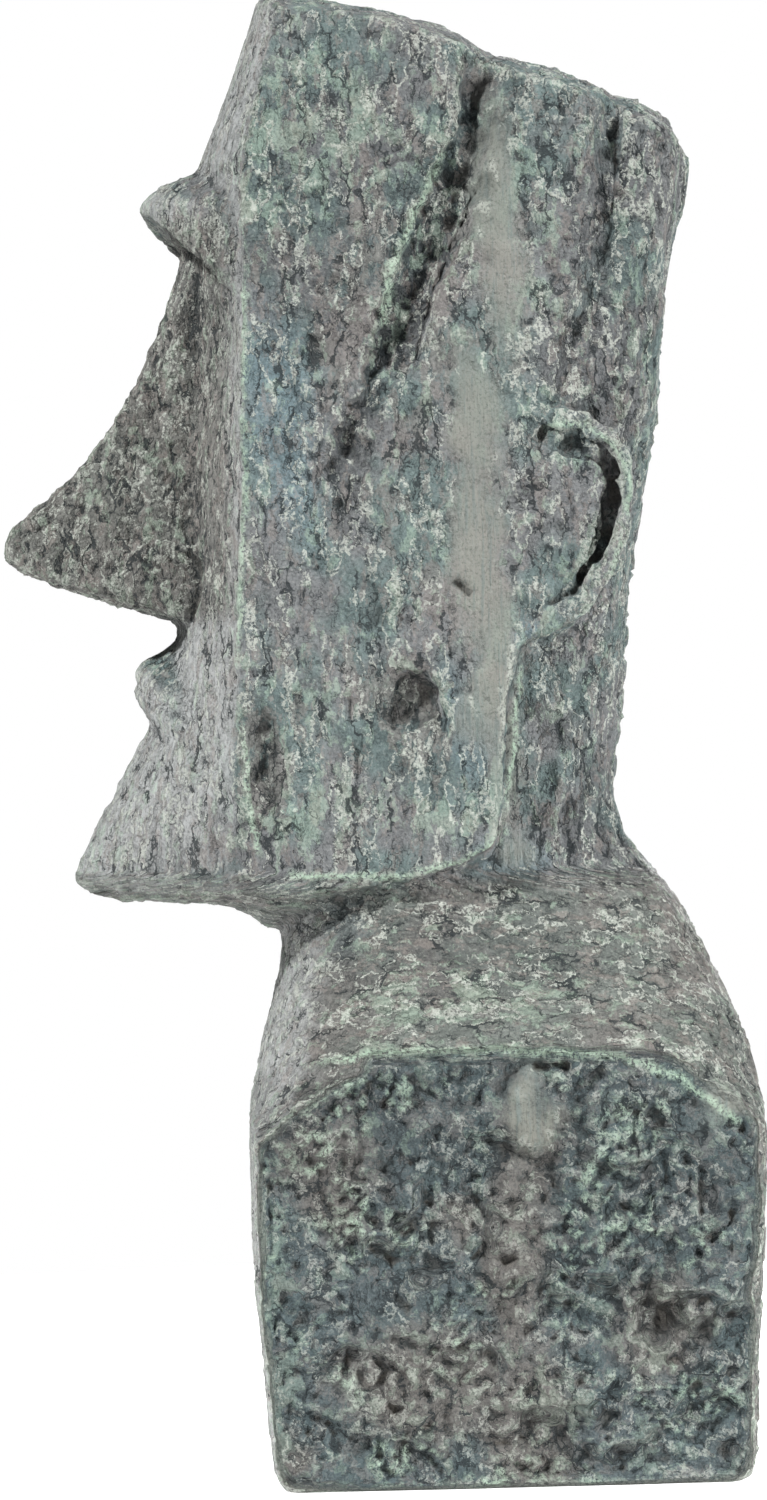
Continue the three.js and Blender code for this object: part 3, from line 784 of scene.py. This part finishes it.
class Clay:
    """The finest marks of the worked clay, as shader values that its bump and its paint both read."""

    def __init__(self, n):
        self.at = {name: n.attribute(name) for name in ATTRIBUTES}
        self.place = n.vector("SCALE", n.add("ShaderNodeTexCoord").outputs["Object"])
        self.place.node.inputs["Scale"].default_value = 1 / MM
        not_head = n.step(self.at["head"], 0.6, 0.0)
        self.shoulder = n.math("MULTIPLY", not_head, n.step(self.at["flank"], 0.6, 0.0))
        self.bent = self.bent_place(n)
        self.worked = n.math("MULTIPLY", self.at["smear"], 0.85)
        self.raw = n.math("SUBTRACT", 1.0, self.worked)
        self.grain = n.noise(self.place, GRAIN_SIZE, 3, 0.7)
        self.dimples = n.noise(self.bent, 3.0, 3, 0.6)
        self.tint = n.noise(self.bent, 6.5, 6, 0.72)
        self.streak = n.noise(n.vector("MULTIPLY", self.place, (1.0, 1.0, 0.05)), 2.0, 4, 0.65)
        pits = n.step(self.dimples, 0.45, 0.33)
        self.pitted = n.times(pits, n.sum((self.at["stipple"], 0.85), (self.at["head"], 0.15)))
        self.crack, self.lip, self.height = self.torn_plates(n)

    def bent_place(self, n):
        """Clay is worked upright on the head, round the shoulders, and in wide swirls on the flat sides."""
        flank = self.at["flank"]
        swirl = n.vector("SUBTRACT", n.noise(self.place, 20, 2, output="Color"), (0.5, 0.5, 0.5))
        reach = n.math("MULTIPLY", flank, SWIRL_REACH)
        reach = n.add("ShaderNodeCombineXYZ", dict.fromkeys(range(3), reach)).outputs[0]
        swirl = n.vector("MULTIPLY", swirl, reach)
        over_jaw = n.vector("SUBTRACT", self.place, (0.0, 0.0, float(JAW_Z)))
        parts = n.add("ShaderNodeSeparateXYZ", {0: over_jaw})
        shares = (
            n.sum((flank, -0.4), 1.0),
            n.sum((flank, -0.4), (self.shoulder, -0.5), 1.0),
            n.sum((flank, -0.4), (self.at["head"], -0.58), 1.0),
        )
        stretched = {axis: n.times(parts.outputs[axis], share) for axis, share in enumerate(shares)}
        stretched = n.add("ShaderNodeCombineXYZ", stretched).outputs[0]
        bend = n.vector("SUBTRACT", n.noise(self.place, 6, 4, 0.65, output="Color"), (0.5, 0.5, 0.5))
        bend = n.vector("MULTIPLY", bend, (BEND_REACH, BEND_REACH, BEND_REACH))
        return n.vector("ADD", n.vector("ADD", stretched, swirl), bend)

    def torn_plates(self, n):
        """The cracks and the lips of torn plates, and the height of all the fine marks in millimetres."""
        slab = n.ledges(n.noise(self.bent, SLAB_SIZE, 4, 0.62), 7)
        plate, plate_edge, plate_number = n.flakes(self.bent, PLATE_SIZE)
        chip, chip_edge, chip_number = n.flakes(self.bent, CHIP_SIZE)
        elsewhere = n.vector("ADD", self.bent, (20.0, 70.0, 10.0))
        torn = n.step(n.noise(elsewhere, 9, 4, 0.6), 0.5, 0.6)
        plate_crack = n.times(n.step(plate_edge, 0.6, 0.15), torn)
        chip_crack = n.times(n.step(chip_edge, 0.35, 0.05), n.step(chip_number, 0.5, 0.8), 0.7)
        crack = n.times(n.math("MAXIMUM", plate_crack, chip_crack), self.raw)
        plate_lip = n.times(n.step(plate_edge, 1.1, 0.55), n.step(plate_number, 0.5, 0.7))
        lip = n.times(n.math("SUBTRACT", plate_lip, crack), self.raw)
        rubble = n.sum((slab, 4.4), (plate, 1.0), (chip, 0.7), (self.grain, 0.3))
        brushed = n.sum((self.streak, 2.0), (plate, 0.2), (self.grain, 0.3), 2.6)
        height = n.add("ShaderNodeMix", {"Factor": self.worked, 2: rubble, 3: brushed}).outputs[0]
        return crack, lip, n.sum((height, 1.0), (crack, -0.6), (self.pitted, -0.9))


def ground_paint_and_shade(n, clay):
    """The paint that each region was first given, with painted light on the front and painted shade in
    patches and in the temple's recess.
    """
    at = clay.at
    broad = n.noise(clay.place, 34, 3, 0.55)
    body = n.mix(n.step(broad, 0.42, 0.58), MAUVE, TEAL)
    body = n.mix(n.times(at["blue"], 0.7), body, BLUE_GREY)
    body = n.mix(n.times(at["flank"], 0.85), body, SLATE)
    body = n.mix(n.times(clay.shoulder, 0.5), body, UMBER)
    # Painted light: the surfaces that face the front are painted paler, as if lit.
    body = n.mix(n.times(at["front"], 0.9), body, PALE_MAUVE)
    body = n.mix(n.times(at["stipple"], 0.8), body, STONE_BROWN)
    body = n.mix(n.times(at["warm"], 0.7, at["flank"]), body, DARK_BROWN)
    body = n.mix(n.times(at["smear"], 0.6), body, BEIGE)
    body = n.mix(n.times(at["smear"], n.step(clay.streak, 0.5, 0.62, 0.0, 0.5)), body, TEAL)
    body = n.mix(n.times(at["deep"], 0.75), body, UMBER)
    # Painted shade: the shaded and dim patches are painted part way to the crevice colour.
    body = n.mix(n.times(at["shaded_and_dim"], 0.3), body, CREVICE)
    # Painted shade: the floor of the temple's recess is painted dark, with a mottle, to stand for its
    # shadow.
    return n.mix(n.times(at["recess"], n.step(clay.tint, 0.35, 0.6, 0.75, 0.3)), body, CREVICE)


def patina_and_shade(n, clay, body):
    """The coats over the ground paint: torn ones, dry-brushed ones, and a dark wash in the cracks, pits and
    hollows that is partly painted shade.
    """
    at = clay.at
    swell = n.math("SUBTRACT", at["swell"], 0.5)
    crest = n.math("SUBTRACT", at["crest"], 0.5)
    less_on_flank = n.step(at["flank"], 0, 1, 1.0, 0.5)
    thin = n.times(clay.raw, less_on_flank)

    # Two thin coats, warm and pale green, torn off again along crisp edges.
    other_tint = n.noise(n.vector("ADD", clay.bent, (90.0, 40.0, 70.0)), 5.5, 5, 0.7)
    warmth = n.sum((other_tint, 1.0), (at["warm"], 0.12), (at["flank"], 0.02))
    body = n.mix(n.times(n.step(warmth, 0.54, 0.57, 0.0, 0.45), thin), body, TAUPE)
    greenness = n.sum((clay.tint, 1.0), (at["green"], 0.1), (swell, 0.1), (crest, 0.1))
    body = n.mix(n.times(n.step(greenness, 0.57, 0.6, 0.0, 0.32), thin), body, PALE_GREEN)

    # Pale paint brushed dry over the lips of the clay.
    broken = n.step(clay.grain, 0.38, 0.54)
    knobs = n.times(n.step(clay.dimples, 0.54, 0.64), at["stipple"])
    pale = n.step(n.sum((clay.lip, 1.0), (crest, 1.1), (swell, 0.4), (knobs, 0.7)), 0.4, 0.9, 0.0, 0.8)
    body = n.mix(n.times(pale, broken, less_on_flank), body, CREAM)
    body = n.mix(n.times(at["rim"], 0.85, broken), body, PALE_GREEN)

    # Dark and pale grains.
    body = n.mix(n.step(clay.grain, 0.5, 0.32, 0.0, 0.4), body, CREVICE)
    body = n.mix(n.times(n.step(clay.grain, 0.54, 0.68, 0.0, 0.22), thin), body, CREAM)
    # Painted shade, partly a real dark wash: cracks, pits and hollows are painted towards the crevice
    # colour, less where the hollow is deep enough to cast its own shadow.
    wash_and_shade = n.sum((clay.crack, 1.0), (clay.pitted, 0.9), (crest, -0.9), (swell, -0.4))
    dark_wash_and_shade = n.times(n.step(wash_and_shade, 0.25, 0.95, 0.0, 0.85), n.step(at["deep"], 0, 1, 1.0, 0.35))
    return n.mix(dark_wash_and_shade, body, CREVICE)


def stone_paint():
    """Matt paint on worked clay, with painted shade and light in places, and the finest marks as bump."""
    material = bpy.data.materials.new("painted_stone")
    material.use_nodes = True
    tree = material.node_tree
    shader = tree.nodes["Principled BSDF"]
    shader.inputs["Roughness"].default_value = 0.78
    shader.inputs["Specular IOR Level"].default_value = 0.3
    n = Nodes(tree)
    clay = Clay(n)
    colour = patina_and_shade(n, clay, ground_paint_and_shade(n, clay))
    tree.links.new(colour, shader.inputs["Base Color"])
    bump = n.add("ShaderNodeBump", {"Height": clay.height, "Strength": 1.0, "Distance": BUMP_DISTANCE})
    tree.links.new(bump.outputs["Normal"], shader.inputs["Normal"])
    return material


make_camera()
make_studio()
make_statue()
